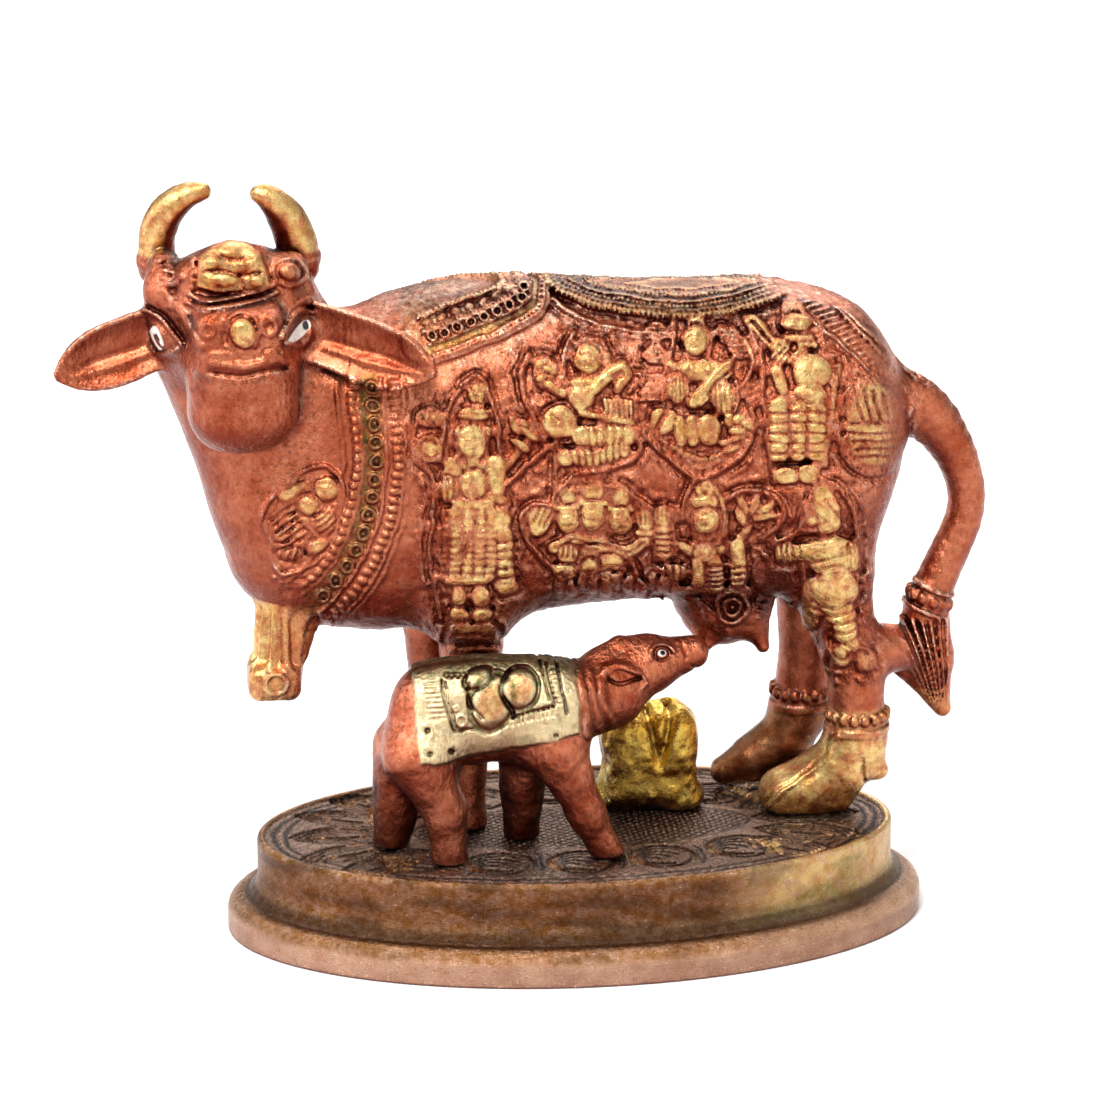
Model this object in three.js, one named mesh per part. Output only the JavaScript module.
// A standing cow that suckles her calf, cast in brass, on an oval plinth of two steps.
// Millimetres. +X points to the cow's tail, -Y to the viewer, +Z up.
// The origin is the centre of the plinth's flat underside.

import * as THREE from "three";

// Driving sizes
const COW_HEIGHT = 99;
const CALF_HEIGHT = 33;
const STUMP_HEIGHT = 16;
const SEAT_GAP = 0.3;
const PLINTH = {
  length: 104,
  width: 60,
  wallHeight: 5.4,
  stepHeight: 7,
  topLength: 95,
  topWidth: 50.6,
  height: 14.3,
  rimWidth: 1.6,
  rimHeight: 0.5,
  edgeRound: 0.7,
  sides: 44,
};

// The cow, the calf and the stump are free forms: their own numbers below are in millimetres at these
// heights, and the scales carry them to the driving heights above.
const COW_DRAWN = 99;
const CALF_DRAWN = 33;
const STUMP_DRAWN = 16;
const COW_SCALE = COW_HEIGHT / COW_DRAWN;
const CALF_SCALE = CALF_HEIGHT / CALF_DRAWN;
const STUMP_SCALE = STUMP_HEIGHT / STUMP_DRAWN;
const FLOOR = PLINTH.height - PLINTH.rimHeight;

// Where each figure stands on the plinth in x and y: the cow behind the long axis, the calf in front of it
const COW_AT = [0, 7.5];
const CALF_AT = [-12, -7.9];
const STUMP_AT = [12, 8.5];
const seated = (at) => [...at.map((value) => value * COW_SCALE), FLOOR + SEAT_GAP];
const COW_PLACE = seated(COW_AT);
const CALF_PLACE = seated(CALF_AT);
const STUMP_PLACE = seated(STUMP_AT);

// The free forms are found on a grid of this pitch, between two corners in each one's own frame, and
// then thinned to these numbers of triangles
const PITCH = { cow: 1.2, calf: 1, stump: 1.4 };
const COW_ROOM = [[-79, -28, -1.25], [67, 18, 101.5]];
const CALF_ROOM = [[-22.1, -9.1, -1.05], [33, 14, 36]];
const STUMP_ROOM = [[-12, -7.9, -1.45], [12, 7.9, 19]];
const TRIANGLES = { cow: 7200, calf: 1300, stump: 260 };

// Plain number helpers
const mix = (a, b, t) => a + (b - a) * t;
const clamp = (value, low, high) => Math.min(high, Math.max(low, value));
const square = (value) => value * value;

// A smooth value at x through rows of [x, value, value, ...] that are sorted by x.
function between(rows, x) {
  const last = rows.length - 1;
  const place = clamp(x, rows[0][0], rows[last][0]);
  let i = 0;
  while (i < last - 1 && place > rows[i + 1][0]) i += 1;
  const t = (place - rows[i][0]) / (rows[i + 1][0] - rows[i][0]);
  const before = rows[Math.max(i - 1, 0)];
  const after = rows[Math.min(i + 2, last)];
  return rows[i].slice(1).map((value, n) => {
    const next = rows[i + 1][n + 1];
    const inward = ((next - before[n + 1]) * (rows[i + 1][0] - rows[i][0])) / (rows[i + 1][0] - before[0]);
    const outward = ((after[n + 1] - value) * (rows[i + 1][0] - rows[i][0])) / (after[0] - rows[i][0]);
    const bend = 2 * (value - next) + inward + outward;
    const lean = 3 * (next - value) - 2 * inward - outward;
    return value + t * (inward + t * (lean + t * bend));
  });
}

// Fields: each gives about the distance from a point to a form, negative inside it.

// A round rod between two points whose radius runs from ra to rb; flat under 1 thins it along Y.
function rod([ax, ay, az], [bx, by, bz], ra, rb = ra, flat = 1) {
  const run = [bx - ax, (by - ay) / flat, bz - az];
  const length2 = square(run[0]) + square(run[1]) + square(run[2]);
  return (x, y, z) => {
    const p = [x - ax, (y - ay) / flat, z - az];
    const t = clamp((p[0] * run[0] + p[1] * run[1] + p[2] * run[2]) / length2, 0, 1);
    return Math.hypot(p[0] - t * run[0], p[1] - t * run[1], p[2] - t * run[2]) - mix(ra, rb, t);
  };
}

// An ellipsoid.
function egg([cx, cy, cz], [rx, ry, rz]) {
  return (x, y, z) => {
    const near = Math.hypot((x - cx) / rx, (y - cy) / ry, (z - cz) / rz);
    const steep = Math.hypot((x - cx) / square(rx), (y - cy) / square(ry), (z - cz) / square(rz));
    return (near * (near - 1)) / Math.max(steep, 1e-6);
  };
}

// A trunk along X through stations of [x, top, bottom, half width], with rounded ends.
function barrel(stations, power, endRound) {
  const first = stations[0][0];
  const last = stations[stations.length - 1][0];
  return (x, y, z) => {
    const [top, bottom, half] = between(stations, x);
    const tall = (top - bottom) / 2;
    const up = Math.abs((z - (top + bottom) / 2) / tall);
    const out = Math.abs(y / half);
    const side = ((up ** power + out ** power) ** (1 / power) - 1) * Math.min(half, tall);
    const end = Math.max(first - x, x - last);
    const corner = Math.hypot(Math.max(side + endRound, 0), Math.max(end + endRound, 0));
    return Math.min(-endRound, Math.max(side, end)) + corner;
  };
}

// Forms that melt into each other over a given width: rows of [field, width].
function melt(rows) {
  return (x, y, z) => {
    let near = rows[0][0](x, y, z);
    for (let i = 1; i < rows.length; i += 1) {
      const [field, width] = rows[i];
      const next = field(x, y, z);
      const overlap = Math.max(width - Math.abs(near - next), 0) / width;
      near = Math.min(near, next) - (square(overlap) * width) / 4;
    }
    return near;
  };
}

// A truncated cone with flat ends.
function drum([ax, ay, az], [bx, by, bz], ra, rb = ra) {
  const run = [bx - ax, by - ay, bz - az];
  const length = Math.hypot(...run);
  return (x, y, z) => {
    const p = [x - ax, y - ay, z - az];
    const along = (p[0] * run[0] + p[1] * run[1] + p[2] * run[2]) / length;
    const out = Math.sqrt(Math.max(square(p[0]) + square(p[1]) + square(p[2]) - square(along), 0));
    const side = out - mix(ra, rb, clamp(along / length, 0, 1));
    return Math.max(side, -along, along - length);
  };
}

// A box with rounded edges.
function slab([cx, cy, cz], [hx, hy, hz], round) {
  return (x, y, z) => {
    const over = [
      Math.abs(x - cx) - hx + round,
      Math.abs(y - cy) - hy + round,
      Math.abs(z - cz) - hz + round,
    ];
    const corner = Math.hypot(...over.map((value) => Math.max(value, 0)));
    return corner + Math.min(Math.max(...over), 0) - round;
  };
}

// A leaf-shaped ear from root to tip, dished on the side that faces -Y.
function ear(root, tip, wide, thick) {
  const from = new THREE.Vector3(...root);
  const along = new THREE.Vector3(...tip).sub(from);
  const length = along.length();
  along.normalize();
  const across = along.clone().cross(new THREE.Vector3(0, 1, 0)).normalize();
  const back = across.clone().cross(along).normalize();
  if (back.y < 0) back.negate();
  return (x, y, z) => {
    const p = new THREE.Vector3(x, y, z).sub(from);
    const a = p.dot(along);
    const t = clamp(a / length, 0, 1);
    const half = wide * (0.3 + 1.5 * t - 0.2 * t ** 2 - 1.6 * t ** 4) + 0.05;
    const v = p.dot(across) / half;
    const dish = 1.5 * thick * (1 - clamp(v * v, 0, 1)) * Math.min(1, 3 * (1 - t));
    const b = (p.dot(back) - dish) / thick;
    const shell = (Math.hypot(v, b) - 1) * thick;
    return Math.max(shell, -a - 1, a - length);
  };
}

// A run of stops [x, y, z, radius] as one field.
const chain = (stops, width = 0.4) => {
  const stretch = (stop, i) => {
    const before = stops[i];
    return [rod(before.slice(0, 3), stop.slice(0, 3), before[3], stop[3]), width];
  };
  return melt(stops.slice(1).map(stretch));
};

// Takes one field away from another, with an edge that is a little soft.
function carved(field, tool, soft = 0.6) {
  return (x, y, z) => {
    const a = field(x, y, z);
    const b = -tool(x, y, z);
    const overlap = Math.max(soft - Math.abs(a - b), 0) / soft;
    return Math.max(a, b) + (square(overlap) * soft) / 4;
  };
}

// Cuts everything below z = 0 off a field, for flat feet.
const standing = (field) => (x, y, z) => Math.max(field(x, y, z), -z);

function slope(field, [x, y, z]) {
  const step = 0.02;
  return [
    (field(x + step, y, z) - field(x - step, y, z)) / (2 * step),
    (field(x, y + step, z) - field(x, y - step, z)) / (2 * step),
    (field(x, y, z + step) - field(x, y, z - step)) / (2 * step),
  ];
}

// Moves a point onto the surface of a field, no further than reach.
function settle(field, start, reach) {
  let point = start;
  for (let round = 0; round < 5; round += 1) {
    const value = field(...point);
    const lean = slope(field, point);
    const steep = Math.max(square(lean[0]) + square(lean[1]) + square(lean[2]), 0.3);
    point = point.map((p, i) => clamp(p - (value * lean[i]) / steep, start[i] - reach, start[i] + reach));
  }
  return point;
}

function eachCell(cells, visit) {
  for (let k = 0; k < cells[2]; k += 1) {
    for (let j = 0; j < cells[1]; j += 1) {
      for (let i = 0; i < cells[0]; i += 1) visit(i, j, k);
    }
  }
}

// Flips the faintest samples of cell faces whose signs alternate round them, and of cells with one sign at
// two opposite corners only, so that every edge and point of the skin joins one sheet of surface.
function untangle(level, cells, stride) {
  const faint = 0.001;
  const mostRounds = 20;
  const cube = [];
  for (let n = 0; n < 8; n += 1) {
    cube.push((n & 1) * stride[0] + ((n >> 1) & 1) * stride[1] + (n >> 2) * stride[2]);
  }
  const isInside = (place) => level[place] < 0;
  let flips = 0;
  const flipFaintest = (places) => {
    const faintest = places.reduce((a, b) => (Math.abs(level[b]) < Math.abs(level[a]) ? b : a));
    level[faintest] = isInside(faintest) ? faint : -faint;
    flips += 1;
  };
  for (let round = 0; round < mostRounds; round += 1) {
    flips = 0;
    eachCell(cells, (i, j, k) => {
      const here = i * stride[0] + j * stride[1] + k * stride[2];
      const corners = cube.map((step) => here + step);
      const inside = corners.filter(isInside);
      if (inside.length === 0 || inside.length === corners.length) return;
      for (let axis = 0; axis < 3; axis += 1) {
        const u = stride[(axis + 1) % 3];
        const v = stride[(axis + 2) % 3];
        const face = [here, here + u, here + u + v, here + v];
        const [first, second, third, fourth] = face.map(isInside);
        if (first === third && second === fourth && first !== second) flipFaintest(face);
      }
      const few = inside.length === 2 ? inside : corners.filter((place) => !isInside(place));
      if (few.length === 2 && few[0] + few[1] === corners[0] + corners[7]) flipFaintest(few);
    });
    if (flips === 0) return;
  }
}

// The skin of a field between two corners: one point in each grid cell that the surface crosses, and one
// pair of triangles round each grid edge that it crosses.
function skin(field, low, high, pitch) {
  const count = low.map((start, i) => Math.ceil((high[i] - start) / pitch) + 1);
  const stride = [1, count[0], count[0] * count[1]];
  const index = (i, j, k) => i + stride[1] * j + stride[2] * k;
  const level = new Float64Array(count[0] * count[1] * count[2]);
  eachCell(count, (i, j, k) => {
    level[index(i, j, k)] = field(low[0] + i * pitch, low[1] + j * pitch, low[2] + k * pitch);
  });
  const cells = count.map((n) => n - 1);
  untangle(level, cells, stride);

  const cellPoint = new Int32Array(level.length).fill(-1);
  const points = [];
  const reach = 0.45 * pitch;
  eachCell(cells, (i, j, k) => {
    const sum = [0, 0, 0];
    let crossings = 0;
    for (let edge = 0; edge < 12; edge += 1) {
      const axis = edge >> 2;
      const corner = [0, 0, 0];
      corner[(axis + 1) % 3] = edge & 1;
      corner[(axis + 2) % 3] = (edge >> 1) & 1;
      const from = index(i + corner[0], j + corner[1], k + corner[2]);
      const a = level[from];
      const b = level[from + stride[axis]];
      if (a < 0 === b < 0) continue;
      corner[axis] = a / (a - b);
      corner.forEach((value, n) => (sum[n] += value));
      crossings += 1;
    }
    if (!crossings) return;
    cellPoint[index(i, j, k)] = points.length;
    const mean = [i, j, k].map((n, axis) => low[axis] + (n + sum[axis] / crossings) * pitch);
    points.push(settle(field, mean, reach));
  });

  const triangles = [];
  const apart = (a, b) => Math.hypot(...points[a].map((value, n) => value - points[b][n]));
  eachCell(cells, (i, j, k) => {
    for (let axis = 0; axis < 3; axis += 1) {
      const here = index(i, j, k);
      const a = level[here] < 0;
      const b = level[here + stride[axis]] < 0;
      if (a === b) continue;
      const u = stride[(axis + 1) % 3];
      const v = stride[(axis + 2) % 3];
      const ring = [here - u - v, here - v, here, here - u].map((cell) => cellPoint[cell]);
      if (!a) ring.reverse();
      if (apart(ring[0], ring[2]) > apart(ring[1], ring[3])) ring.push(ring.shift());
      triangles.push([ring[0], ring[1], ring[2]], [ring[0], ring[2], ring[3]]);
    }
  });
  return { points, triangles };
}

// The error quadric of a triangle's plane, weighted by its area.
function planeError(a, b, c) {
  const normal = new THREE.Vector3(...b).sub(new THREE.Vector3(...a));
  normal.cross(new THREE.Vector3(...c).sub(new THREE.Vector3(...a)));
  const area = normal.length() / 2;
  normal.normalize();
  const plane = [...normal.toArray(), -normal.dot(new THREE.Vector3(...a))];
  const error = [];
  for (let i = 0; i < 4; i += 1) for (let j = i; j < 4; j += 1) error.push(area * plane[i] * plane[j]);
  return error;
}

const errorAt = (q, [x, y, z]) =>
  q[0] * x * x + q[4] * y * y + q[7] * z * z + q[9] +
  2 * (q[1] * x * y + q[2] * x * z + q[3] * x + q[5] * y * z + q[6] * y + q[8] * z);

// The point with the least error, or null where the planes fix none.
function leastErrorPoint(q) {
  const form = new THREE.Matrix3().set(q[0], q[1], q[2], q[1], q[4], q[5], q[2], q[5], q[7]);
  const size = (q[0] + q[4] + q[7]) / 3;
  if (Math.abs(form.determinant()) < 1e-3 * size ** 3) return null;
  return new THREE.Vector3(-q[3], -q[6], -q[8]).applyMatrix3(form.invert()).toArray();
}

// Collapses the edges that change the form least, until the mesh has no more than the wanted triangles.
function thinned({ points, triangles }, wanted) {
  const places = points.map((p) => [...p]);
  const faces = triangles.map((face) => [...face]);
  const around = places.map(() => new Set());
  const errors = places.map(() => new Array(10).fill(0));
  const version = places.map(() => 0);
  faces.forEach((face, f) => {
    const error = planeError(...face.map((v) => places[v]));
    face.forEach((v) => {
      around[v].add(f);
      error.forEach((value, n) => (errors[v][n] += value));
    });
  });
  const neighbours = (v) => {
    const found = new Set();
    around[v].forEach((f) => faces[f].forEach((w) => found.add(w)));
    found.delete(v);
    return found;
  };
  const heap = [];
  const push = (entry) => {
    let i = heap.length;
    heap.push(entry);
    while (i > 0) {
      const parent = (i - 1) >> 1;
      if (heap[parent].cost <= entry.cost) break;
      heap[i] = heap[parent];
      i = parent;
    }
    heap[i] = entry;
  };
  const pop = () => {
    const top = heap[0];
    const entry = heap.pop();
    if (!heap.length) return top;
    let i = 0;
    for (;;) {
      let child = 2 * i + 1;
      if (child >= heap.length) break;
      if (child + 1 < heap.length && heap[child + 1].cost < heap[child].cost) child += 1;
      if (heap[child].cost >= entry.cost) break;
      heap[i] = heap[child];
      i = child;
    }
    heap[i] = entry;
    return top;
  };
  const offer = (a, b) => {
    const q = errors[a].map((value, n) => value + errors[b][n]);
    const middle = places[a].map((value, n) => (value + places[b][n]) / 2);
    const length = Math.hypot(...places[a].map((value, n) => value - places[b][n]));
    const best = leastErrorPoint(q);
    const strayed = !best || Math.hypot(...best.map((value, n) => value - middle[n])) > length;
    const place = strayed ? middle : best;
    const cost = Math.max(errorAt(q, place), 0) + 0.0006 * length ** 3;
    push({ cost, a, b, place, stamp: version[a] + version[b] });
  };
  // A face keeps facing its way, and stays no sliver, when one corner moves to a place.
  const keepsFacing = (f, corner, place) => {
    const before = faces[f].map((v) => new THREE.Vector3(...places[v]));
    const after = faces[f].map((v, n) => (v === corner ? new THREE.Vector3(...place) : before[n]));
    const normals = [before, after].map(([p, q, r]) => q.clone().sub(p).cross(r.clone().sub(p)));
    const sides = after.map((p, n) => p.distanceTo(after[(n + 1) % 3]));
    const area = normals[1].length();
    const facing = normals[0].dot(normals[1]) > 0.3 * normals[0].length() * area;
    return facing && area > 0.06 * Math.max(...sides) ** 2;
  };
  places.forEach((unused, a) => neighbours(a).forEach((b) => a < b && offer(a, b)));

  let left = faces.length;
  while (left > wanted && heap.length) {
    const { a, b, place, stamp } = pop();
    if (!around[a].size || !around[b].size || stamp !== version[a] + version[b]) continue;
    const nearB = neighbours(b);
    if ([...neighbours(a)].filter((v) => nearB.has(v)).length !== 2) continue;
    const shared = [...around[a]].filter((f) => around[b].has(f));
    const moved = (v) => [...around[v]].every((f) => shared.includes(f) || keepsFacing(f, v, place));
    if (!moved(a) || !moved(b)) continue;
    places[a] = place;
    errors[b].forEach((value, n) => (errors[a][n] += value));
    shared.forEach((f) => {
      faces[f].forEach((v) => around[v].delete(f));
      faces[f] = null;
    });
    left -= shared.length;
    around[b].forEach((f) => {
      faces[f] = faces[f].map((v) => (v === b ? a : v));
      around[a].add(f);
    });
    around[b].clear();
    version[a] += 1;
    neighbours(a).forEach((v) => offer(a, v));
  }

  const kept = faces.filter((face) => face);
  const used = [...new Set(kept.flat())];
  const renumber = new Map(used.map((v, n) => [v, n]));
  return meshOf(
    used.map((v) => places[v]),
    kept.map((face) => face.map((v) => renumber.get(v))),
  );
}

function meshOf(points, triangles) {
  const geometry = new THREE.BufferGeometry();
  geometry.setAttribute("position", new THREE.Float32BufferAttribute(points.flat(), 3));
  geometry.setIndex(triangles.flat());
  return geometry;
}

// A closed skin over rings of points, with a point at each end.
function rings(rows, firstTip, lastTip) {
  const n = rows[0].length;
  const points = [...rows.flat(), firstTip, lastTip];
  const tip = rows.length * n;
  const triangles = [];
  for (let i = 0; i < n; i += 1) {
    const next = (i + 1) % n;
    triangles.push([tip, next, i]);
    triangles.push([tip + 1, tip - n + i, tip - n + next]);
    for (let row = 0; row < rows.length - 1; row += 1) {
      const a = row * n + i;
      const b = row * n + next;
      triangles.push([a, b, b + n], [a, b + n, a + n]);
    }
  }
  return meshOf(points, triangles);
}

// The plinth

// One ring of the plinth: an ellipse with half axes a and b at height z.
function plinthRing(a, b, z) {
  return Array.from({ length: PLINTH.sides }, (unused, n) => {
    const turn = (2 * Math.PI * n) / PLINTH.sides;
    return [a * Math.cos(turn), b * Math.sin(turn), z];
  });
}

function plinthGeometry() {
  const a = PLINTH.length / 2;
  const b = PLINTH.width / 2;
  const topA = PLINTH.topLength / 2;
  const topB = PLINTH.topWidth / 2;
  const round = PLINTH.edgeRound;
  const inner = PLINTH.rimWidth;
  const floor = PLINTH.height - PLINTH.rimHeight;
  const tread = PLINTH.stepHeight - PLINTH.wallHeight;
  return rings(
    [
      plinthRing(a - round, b - round, 0),
      plinthRing(a, b, round),
      plinthRing(a, b, PLINTH.wallHeight - round),
      plinthRing(a - round, b - round, PLINTH.wallHeight),
      plinthRing(topA + tread * 0.8, topB + tread * 0.8, PLINTH.wallHeight + tread * 0.35),
      plinthRing(topA, topB, PLINTH.stepHeight),
      plinthRing(topA, topB, PLINTH.height - round),
      plinthRing(topA - round, topB - round, PLINTH.height),
      plinthRing(topA - inner, topB - inner, PLINTH.height),
      plinthRing(topA - inner - PLINTH.rimHeight, topB - inner - PLINTH.rimHeight, floor),
    ],
    [0, 0, 0],
    [0, 0, floor],
  );
}

// The cow, drawn about her own mid-plane y = 0 with her feet at z = 0

const TRUNK = [
  [-36, 73, 33, 11.6],
  [-24, 80.6, 31, 14.2],
  [-8, 81.2, 32, 14.8],
  [8, 80.2, 33.4, 15],
  [22, 80, 33, 14.8],
  [33, 79.6, 35, 14.4],
  [43, 75.8, 42, 12.6],
  [50, 70.4, 51, 9],
];

// Limbs: each is a run of stops [x, y, z, radius] from the body to its end.
const LIMBS = {
  nearHind: [[37.4, -5.6, 41, 7], [39.2, -6.2, 32, 5.3], [42.2, -6.3, 22, 4.2], [42.5, -6.3, 12, 4.2]],
  farHind: [[36.2, 5.2, 41, 7], [37.4, 5.8, 31, 5.2], [37, 5.8, 21, 4.2], [36, 5.8, 12, 4.1]],
  nearFore: [[-16, -5.6, 38, 6.4], [-15.2, -5, 28, 4.7], [-15.8, -4.8, 16, 3.5], [-16.6, -4.8, 4, 3.3],
    [-16.8, -4.8, 0.5, 3.9]],
  farFore: [[-18.4, 5.5, 38, 6.6], [-19.6, 5.6, 28, 4.6], [-19.4, 5.7, 16, 3.6], [-19, 5.8, 4, 3.4],
    [-19, 5.8, 0.5, 4]],
  nearHindHoof: [[42.4, -6.3, 12, 4.3], [40.4, -5.9, 7.4, 4.5], [35.4, -4.5, 4, 3.7], [31.2, -3.4, 2.2, 2.3]],
  farHindHoof: [[36, 5.8, 12, 4.1], [34, 6, 7.4, 4.3], [29, 6.4, 4, 3.6], [24.8, 6.8, 2.2, 2.2]],
  heel: [[43.8, -6.6, 9, 2.6], [45.8, -6.8, 6.2, 1.5]],
  tail: [[46, 0, 63, 5], [52.6, 0, 60, 4.2], [57.2, 0, 54, 3.6], [59.4, 0, 47, 3.4], [58.4, 0, 39, 3.5],
    [55.4, 0, 31.6, 3.7], [53.6, 0, 27.4, 3.7]],
  tuft: [[53.8, 0, 27.6, 3.9], [53.8, 0, 23, 4.3], [55.6, 0, 17, 3.2], [57.6, 0, 12.4, 0.8]],
  web: [[52.4, -0.6, 22.6, 2.6], [45, -5, 24, 3]],
  nearTeat: [[21, -3, 30, 2.2], [19.6, -4, 26.2, 1.2]],
  farTeat: [[21, 3, 30, 2.2], [19.8, 4, 26.4, 1.2]],
  nearFlap: [[26.5, -2.6, 31, 3.2], [28.6, -3.6, 25.4, 1]],
  farFlap: [[26.5, 2.6, 31, 3.2], [28.4, 3.6, 25.8, 1]],
};

// Head: it looks at the viewer, so its length runs along -Y.
const HEAD = [-48.8, -4, 79];
const onHead = (x, y, z) => [HEAD[0] + x, HEAD[1] + y, HEAD[2] + z];
const HORNS = [
  [[-10.8, 2, 8, 3.1], [-11.4, 1, 13, 2.8], [-10, 0, 17.2, 2.3], [-6.4, -0.5, 19, 1.6]],
  [[9.8, 2, 8, 3.1], [9.8, 1, 12.5, 2.8], [7.9, 0, 16.6, 2.3], [4.8, -0.5, 18.6, 1.6]],
];

const onHeadStops = (stops) => stops.map(([x, y, z, r]) => [...onHead(x, y, z), r]);

// The cow's whole form without her relief.
function cowForm() {
  const trunk = [
    [barrel(TRUNK, 2.5, 9), 0],
    [egg([-34, -1.5, 51], [17, 13.6, 20]), 5],
    [rod([-25, 0, 62], [-44, -3, 70], 15.4, 10.4), 5],
    [rod([-47.5, -5.6, 65], [-42, -3, 43], 6.6, 8), 5],
    [rod([-54.5, -2, 74], [-46, -3, 52], 6.6, 6.6), 4],
    [egg([34.5, 0, 58], [14, 14.2, 18]), 5],
    [rod([35, -5, 49], [37.6, -5.8, 38], 10.6, 6.6), 5],
    [rod([34, 5, 49], [36, 5.4, 38], 10.6, 6.4), 5],
    [rod([-17, -6, 48], [-15.8, -6, 36], 9, 6.4), 6],
    [rod([-18, 5.5, 48], [-18.6, 5.5, 36], 9, 6.2), 6],
    [egg([23, 0, 31], [6.5, 6.5, 6]), 4],
  ];
  const limbs = Object.values(LIMBS).map((stops) => [chain(stops), 2]);
  const head = [
    [egg(onHead(0, 0, 0.5), [12.4, 10, 11.5]), 4],
    [rod(onHead(0, -3, -1), onHead(-0.3, -13, -4), 10, 8.2), 5],
    [egg(onHead(-0.2, -17.5, 1), [6.3, 4.6, 4.2]), 3],
    [egg(onHead(-0.2, -16.2, -8.5), [7, 6.2, 6.2]), 3],
    [rod(onHead(-11, -4.5, 5), onHead(-6, -10, 1.5), 1.7, 1.4), 2],
    [rod(onHead(9, -5.5, 5), onHead(5.2, -10.5, 1.5), 1.7, 1.4), 2],
    [egg(onHead(-10.2, -6.5, -1), [2.2, 2.4, 2.2]), 1.5],
    [egg(onHead(9.6, -6.5, -1), [2.2, 2.4, 2.2]), 1.5],
    [slab(onHead(-0.2, -7.6, 8.6), [5.4, 3.2, 4.2], 1.4), 0.8],
    [egg(onHead(-0.4, -20.4, 2.8), [2, 2, 2.2]), 1],
    [egg(onHead(-8.6, -5, 8), [1.8, 1.8, 1.6]), 1],
    [egg(onHead(8.2, -5, 9.2), [1.8, 1.8, 1.6]), 1],
    ...HORNS.map((stops) => [chain(onHeadStops(stops)), 1]),
    [ear(onHead(-10.2, -1, -0.6), onHead(-26.4, -2.5, -7.4), 4.9, 1.15), 1],
    [ear(onHead(9.4, -5, -1.2), onHead(27.4, -13, -6.6), 5, 1.15), 1],
  ];
  const trimmings = [
    [drum([-44.6, -7.6, 22.8], [-43.9, -6.8, 26], 3.9, 3.9), 0.5],
    [drum([-43.9, -6.8, 26], [-42, -5, 36], 3.4, 4.6), 1],
    [drum([42.5, -6.3, 13.2], [42.5, -6.3, 16.2], 5, 5), 0.5],
    [drum([36, 5.8, 13.2], [36.2, 5.8, 16], 4.8, 4.8), 0.5],
    [drum([57.2, 0, 35.4], [58.2, 0, 38], 4.3, 4.2), 0.5],
  ];
  const mouth = rod(onHead(-6.5, -20.6, -3.6), onHead(6, -20.6, -3.6), 0.9);
  return standing(carved(melt([...trunk, ...limbs, ...head, ...trimmings]), mouth));
}

// Relief: figures and bands that stand out of the cow's sides

// Relief parts in the plane of a side: an oval boss and a tapering bar.
const boss = (u, v, ru, rv, out = 1.5) => ({ u, v, ru, rv, out });
const bar = (u, v, u2, v2, r, r2 = r) => ({ u, v, u2, v2, r, r2 });

// A figure that stands, its feet at v = 0 and its crown near v = tall.
function standingFigure(tall, { belly = 0, lean = 0 } = {}) {
  const t = tall / 40;
  return [
    boss(lean * 3, 37 * t, 2.3 * t, 3.6 * t),
    boss(lean * 2, 31 * t, 2.3 * t, 2.7 * t, 1.8),
    boss(lean, (25 - belly) * t, (2.9 + belly) * t, (3.7 + belly / 2) * t, 1.6),
    bar(-3.4 * t, 27.5 * t, -4.2 * t, 22 * t, 1.1 * t),
    bar(3 * t, 27.5 * t, 4 * t, 22 * t, 1.1 * t),
    bar(-1.6 * t, 20 * t, -1.8 * t, 9 * t, 2 * t),
    bar(1.2 * t, 20 * t, 1.2 * t, 9 * t, 2 * t),
    bar(-3 * t, 6 * t, 2.6 * t, 6 * t, 1.6 * t),
  ];
}

// A figure that sits cross-legged, its seat at v = 0.
function seatedFigure(tall, heads = 1) {
  const t = tall / 20;
  const parts = [
    boss(0, 9 * t, 2.6 * t, 3.2 * t, 1.6),
    bar(-5.5 * t, 4.4 * t, 5 * t, 4.8 * t, 1.8 * t),
    bar(-4.6 * t, 1.4 * t, 4.6 * t, 1.4 * t, 1.3 * t),
    bar(-2.4 * t, 11 * t, -5 * t, 8 * t, 1.1 * t),
    bar(2.4 * t, 11 * t, 5 * t, 8 * t, 1.1 * t),
  ];
  for (let n = 0; n < heads; n += 1) {
    const u = (n - (heads - 1) / 2) * 3.7 * t;
    parts.push(boss(u, 14.6 * t, 2 * t, 2.4 * t, 1.9));
    parts.push(boss(u, 17.8 * t, 1.6 * t, 1.8 * t, 1.4));
  }
  return parts;
}

const FAN = [boss(0, 0, 2.2, 2.2, 1.2)];
const SHIELD = [boss(0, 0, 4.5, 6.6, 1.7)];
const LEAF_SEAT = [bar(-7.4, 4.8, -0.4, 0, 0.9), bar(-0.4, 0, 6.8, 4.8, 0.9)];

// The figures of the side that faces the viewer: [x, z, parts].
const NEAR_RELIEF = [
  [-15.7, 31, standingFigure(38)],
  [-8.8, 62, FAN],
  [-21.6, 62.6, FAN],
  [-11.6, 48.6, [boss(0, 1.2, 1.8, 1.8, 2), bar(0.2, -1, 1.2, -9, 1.2, 1.5)]],
  [1.2, 57, seatedFigure(20)],
  [-5.5, 73, FAN],
  [17.4, 57.5, seatedFigure(21)],
  [17.8, 55.6, LEAF_SEAT],
  [10.6, 76, FAN],
  [22.4, 76.6, FAN],
  [31.6, 53, standingFigure(27, { belly: 0.9 })],
  [42, 62.6, SHIELD],
  [1.6, 40.4, seatedFigure(14, 3)],
  [-6.4, 49.4, FAN],
  [18.4, 40, seatedFigure(15)],
  [25.6, 50, FAN],
  [36.8, 24, standingFigure(30, { lean: -0.3 })],
];

// The far side is plainer.
const FAR_RELIEF = [
  [-14, 36, standingFigure(32)],
  [1, 50, seatedFigure(22)],
  [17, 50, seatedFigure(22)],
  [31, 45, standingFigure(30)],
  [42, 60, SHIELD],
];

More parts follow.
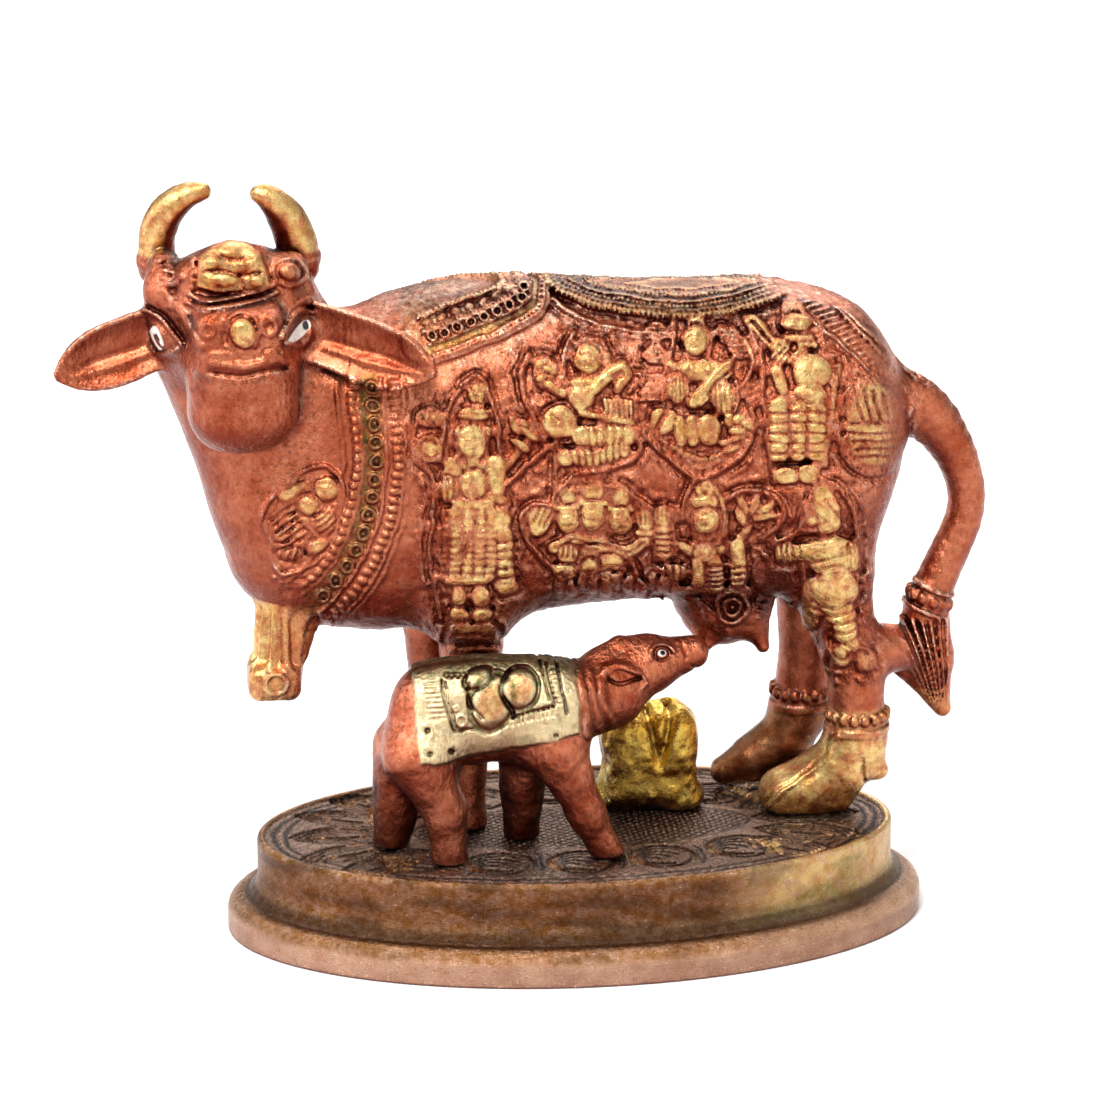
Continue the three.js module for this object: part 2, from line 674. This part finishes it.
// A bump's profile: steep at its edge and nearly level on top.
const plateau = (inside) => clamp(inside * 1.6, 0, 1) ** 0.6;

// How far one relief part stands out at u, v.
function partHeight(part, u, v) {
  if (part.ru) {
    const inside = 1 - square((u - part.u) / part.ru) - square((v - part.v) / part.rv);
    return part.out * plateau(inside);
  }
  const run = [part.u2 - part.u, part.v2 - part.v];
  const t = clamp(
    ((u - part.u) * run[0] + (v - part.v) * run[1]) / (square(run[0]) + square(run[1])), 0, 1);
  const r = mix(part.r, part.r2, t);
  const out = Math.hypot(u - part.u - t * run[0], v - part.v - t * run[1]) / r;
  return 1.1 * Math.sqrt(r) * plateau(1 - out * out);
}

function figuresHeight(figures, x, z) {
  let height = 0;
  figures.forEach(([fx, fz, parts]) => {
    if (Math.abs(x - fx) > 12 || z < fz - 12 || z > fz + 42) return;
    parts.forEach((part) => {
      height = Math.max(height, partHeight(part, x - fx, z - fz));
    });
  });
  return height;
}

// A rounded ridge of a given half width and height, at a distance from its middle.
const ridge = (distance, half, high) => high * Math.sqrt(Math.max(1 - square(distance / half), 0));

// The collar's middle line: x against height, leaning forward low on the chest.
const collarLine = (z) => -29 - 15 * clamp((70 - z) / 36, 0, 1.15) ** 2;

// The hem of the back cloth: height against x, in three swags.
const HEM = [
  [-32, 70],
  [-20, 71],
  [-8, 75.6],
  [-2, 80],
  [4, 77],
  [14, 75],
  [24, 77],
  [31, 81],
  [36.5, 78],
  [42.5, 73.6],
  [48, 68],
  [53, 62.4],
];
const CARTOUCHE = [-40, 48];

// How far the relief stands out of her at x, y, z.
function reliefHeight(x, y, z) {
  if (z < 24 || x > 54 || x < -50) return 0;
  const sideways = clamp((Math.abs(y) - 5) / 2, 0, 1);
  let height = 0;
  if (sideways > 0) height = sideways * figuresHeight(y < 0 ? NEAR_RELIEF : FAR_RELIEF, x, z);
  const onNeck = x < -20 && z > 30 && z < 74;
  if (onNeck) {
    const lean = collarLine(z + 0.5) - collarLine(z - 0.5);
    const off = (x - collarLine(z)) / Math.hypot(1, lean);
    const rows = Math.max(ridge(off - 3.1, 0.9, 0.9), ridge(off + 3.1, 0.9, 0.9));
    height = Math.max(height, rows, ridge(off, 2.6, 0.5));
  }
  if (x > HEM[0][0]) {
    const above = z - between(HEM, x)[0];
    height = Math.max(height, 0.5 * clamp(above, 0, 1), ridge(above, 0.9, 0.9));
  }
  if (y < 0) {
    const [cx, cz] = CARTOUCHE;
    const frame = Math.hypot((x - cx) / 4.2, (z - cz) / 8);
    const knob = 1.1 * Math.sqrt(Math.max(0.6 - frame * frame, 0));
    height = Math.max(height, ridge((frame - 1) * 5, 0.9, 0.8), knob);
  }
  return height;
}

function cowGeometry() {
  const form = cowForm();
  const field = (x, y, z) => form(x, y, z) - reliefHeight(x, y, z);
  return thinned(skin(field, ...COW_ROOM, PITCH.cow), TRIANGLES.cow);
}

// The calf, drawn with its feet at z = 0, facing +X and reaching up to the udder

const CALF_TRUNK = [
  [-16.6, 27, 13.4, 4.6],
  [-8, 28.8, 13.8, 5.2],
  [4, 28.6, 14.6, 5.2],
  [11, 27, 15.4, 4.8],
];

function calfField() {
  return standing(
    melt([
      [barrel(CALF_TRUNK, 2.4, 4.6), 0],
      [rod([8, -0.4, 21.6], [16, 3.6, 21.6], 6, 5.4), 3],
      [rod([17, 4.6, 23], [21, 6, 24.6], 4.8, 3.9), 2],
      [rod([21, 6, 24.6], [29.6, 7.4, 26.6], 3.6, 1.9), 2],
      [rod([-13, -3.4, 16], [-9, -4.4, 7.5], 4.6, 2.6), 3],
      [rod([-9, -4.4, 7.5], [-8.2, -4.6, 0], 2.5, 2.5), 1.5],
      [rod([-14.5, 3.4, 15], [-16.2, 3.7, 0], 4.2, 2.5), 3],
      [rod([7.5, -3.4, 16], [12, -4.6, 6], 4.2, 2.2), 3],
      [rod([12, -4.6, 6], [15.2, -4.8, 0], 2.2, 2.3), 1.5],
      [rod([3.5, 3.4, 15], [3.4, 4.8, 0], 3.6, 2.3), 3],
    ]),
  );
}

// The cloth over the calf's back: between two stops along her, down to a hem.
const CALF_CLOTH = { from: -12.6, to: 8, hem: 18 };

function calfGeometry() {
  const form = melt([
    [calfField(), 0],
    [ear([15.4, 0.4, 25.4], [21.6, 0.6, 24.2], 1.7, 0.7), 0.6],
    [chain([[14.4, 3.6, 26.8, 1.8], [18, 5.2, 28.2, 1.8], [23, 6.6, 28, 1.3]]), 1],
  ]);
  const field = (x, y, z) => {
    const { from, to, hem } = CALF_CLOTH;
    const inside = Math.min(x - from, to - x, z - hem);
    return form(x, y, z) - 0.8 * clamp(inside / 0.7, 0, 1);
  };
  return thinned(skin(field, ...CALF_ROOM, PITCH.calf), TRIANGLES.calf);
}

// The stump: a rough mound with a notched top, wider at the foot

function stumpField() {
  return standing(
    melt([
      [rod([0.5, 0, 3], [-0.5, 0.3, 11], 6.4, 5), 0],
      [egg([3, -0.6, 11], [2.8, 4, 4.8]), 2],
      [egg([-3.4, 0, 11.4], [3.4, 3.8, 4]), 2],
      [egg([5.4, -1, 1.5], [4, 4.4, 3.4]), 2],
      [egg([-5.6, 0.6, 1.5], [3.8, 4.2, 3.6]), 2],
    ]),
  );
}

function placed(name, geometry, scale, place, color, roughness) {
  geometry.scale(scale, scale, scale);
  const material = new THREE.MeshStandardMaterial({ color, roughness, metalness: 0.9 });
  const mesh = new THREE.Mesh(geometry, material);
  mesh.name = name;
  mesh.position.set(...place);
  return mesh;
}

const statue = new THREE.Group();
statue.add(
  placed("plinth", plinthGeometry(), 1, [0, 0, 0], 0x8a6a45, 0.45),
  placed("cow", cowGeometry(), COW_SCALE, COW_PLACE, 0xc0694a, 0.4),
  placed("calf", calfGeometry(), CALF_SCALE, CALF_PLACE, 0xb5603f, 0.45),
  placed(
    "stump",
    thinned(skin(stumpField(), ...STUMP_ROOM, PITCH.stump), TRIANGLES.stump),
    STUMP_SCALE,
    STUMP_PLACE,
    0xa88a2c,
    0.45,
  ),
);

export default statue;
